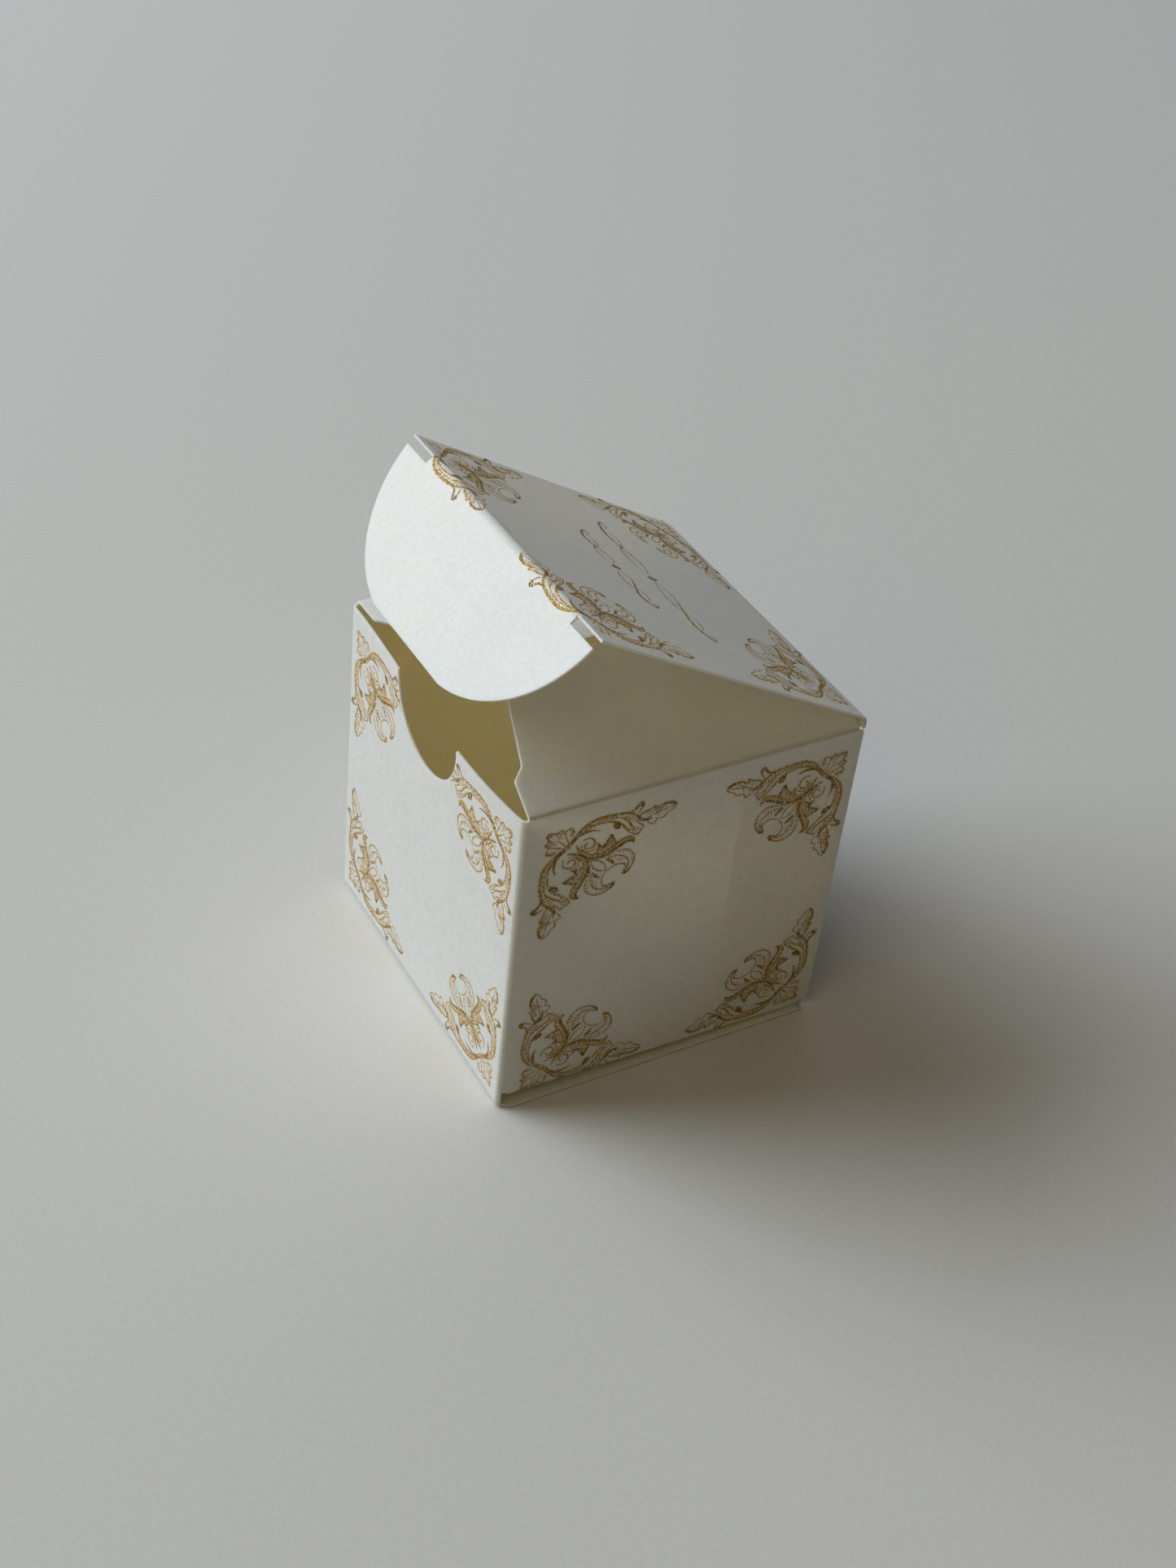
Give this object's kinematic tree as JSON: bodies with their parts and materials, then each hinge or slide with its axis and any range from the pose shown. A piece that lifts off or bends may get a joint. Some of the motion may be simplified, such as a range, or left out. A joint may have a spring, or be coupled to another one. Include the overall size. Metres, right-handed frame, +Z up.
{
  "type": "favor box",
  "caption": "Small cube gift box folded from one sheet of card, with a tuck-in lid standing ajar, slit locks, raised dust flaps, a thumb notch and gold scroll corners.",
  "frame": {"origin": "middle of the base, on the surface that the box stands on", "axes": "+Z up, front wall with the thumb notch towards -Y, +X to the right of the front wall"},
  "size_m": [0.0512, 0.0543, 0.0743],
  "materials": {
    "card": "pearl white textured card with gold line print"
  },
  "bodies": {
    "carton": {"carton": "card"},
    "lid": {"lid": "card"},
    "tuck_flap": {"tuck_flap": "card"},
    "bottom_flap": {"bottom_flap": "card"}
  },
  "joints": [
    {"name": "lid_hinge", "type": "hinge", "parent": "carton", "child": "lid", "pos_m": [0, 0.02482, 0.0515], "axis": [-1, 0, 0], "range_deg": [0, 150]},
    {"name": "tuck_hinge", "type": "hinge", "parent": "lid", "child": "tuck_flap", "pos_m": [0, -0.01696, 0.07409], "axis": [1, 0, 0], "range_deg": [-76, 14]},
    {"name": "bottom_hinge", "type": "hinge", "parent": "carton", "child": "bottom_flap", "pos_m": [0, -0.02482, 0.00017], "axis": [-1, 0, 0], "range_deg": [0, 110]}
  ]
}
